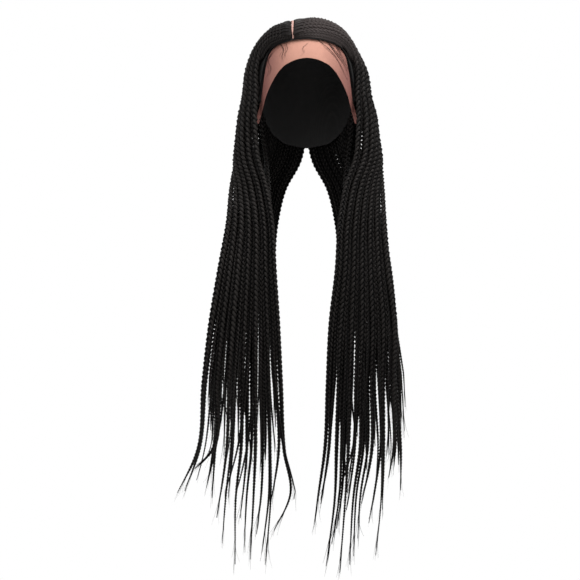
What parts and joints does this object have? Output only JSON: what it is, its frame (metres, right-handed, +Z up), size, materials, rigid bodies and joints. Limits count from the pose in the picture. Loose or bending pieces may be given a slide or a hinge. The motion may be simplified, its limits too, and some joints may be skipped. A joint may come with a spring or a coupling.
{
  "type": "braid wig",
  "caption": "Long black braided wig with a lace front and ear tabs, an off-centre part and a hollow net cap; the braids hang over the front and back of the shoulders.",
  "frame": {"origin": "the inside top of the cap, where the crown of the head meets it", "axes": "+Z up, the face looks along -Y, +X is on the right in the front view"},
  "size_m": [0.3425, 0.2491, 0.8381],
  "materials": {
    "hair": "satin",
    "net": "matte",
    "lace": "matte",
    "scalp": "matte"
  },
  "bodies": {
    "root": {"cap": "net", "lace_front": "lace", "part_strip": "scalp", "braid_left_out_1": "hair", "braid_left_out_2": "hair", "braid_left_out_3": "hair", "braid_left_out_4": "hair", "braid_left_out_5": "hair", "braid_left_out_6": "hair", "braid_left_out_7": "hair", "braid_left_mid_1": "hair", "braid_left_mid_2": "hair", "braid_left_mid_3": "hair", "braid_left_mid_4": "hair", "braid_left_mid_5": "hair", "braid_left_mid_6": "hair", "braid_left_in_1": "hair", "braid_left_in_2": "hair", "braid_left_in_3": "hair", "braid_left_in_4": "hair", "braid_left_back_1": "hair", "braid_left_back_2": "hair", "braid_left_back_3": "hair", "braid_left_back_4": "hair", "braid_left_back_5": "hair", "braid_left_back_6": "hair", "braid_left_back_7": "hair", "braid_left_back_8": "hair", "braid_left_back_9": "hair", "braid_left_back_10": "hair", "braid_left_back_11": "hair", "braid_right_out_1": "hair", "braid_right_out_2": "hair", "braid_right_out_3": "hair", "braid_right_out_4": "hair", "braid_right_out_5": "hair", "braid_right_out_6": "hair", "braid_right_out_7": "hair", "braid_right_mid_1": "hair", "braid_right_mid_2": "hair", "braid_right_mid_3": "hair", "braid_right_mid_4": "hair", "braid_right_mid_5": "hair", "braid_right_mid_6": "hair", "braid_right_in_1": "hair", "braid_right_in_2": "hair", "braid_right_in_3": "hair", "braid_right_in_4": "hair", "braid_right_back_1": "hair", "braid_right_back_2": "hair", "braid_right_back_3": "hair", "braid_right_back_4": "hair", "braid_right_back_5": "hair", "braid_right_back_6": "hair", "braid_right_back_7": "hair", "braid_right_back_8": "hair", "braid_right_back_9": "hair", "braid_right_back_10": "hair", "braid_right_back_11": "hair"}
  },
  "joints": []
}
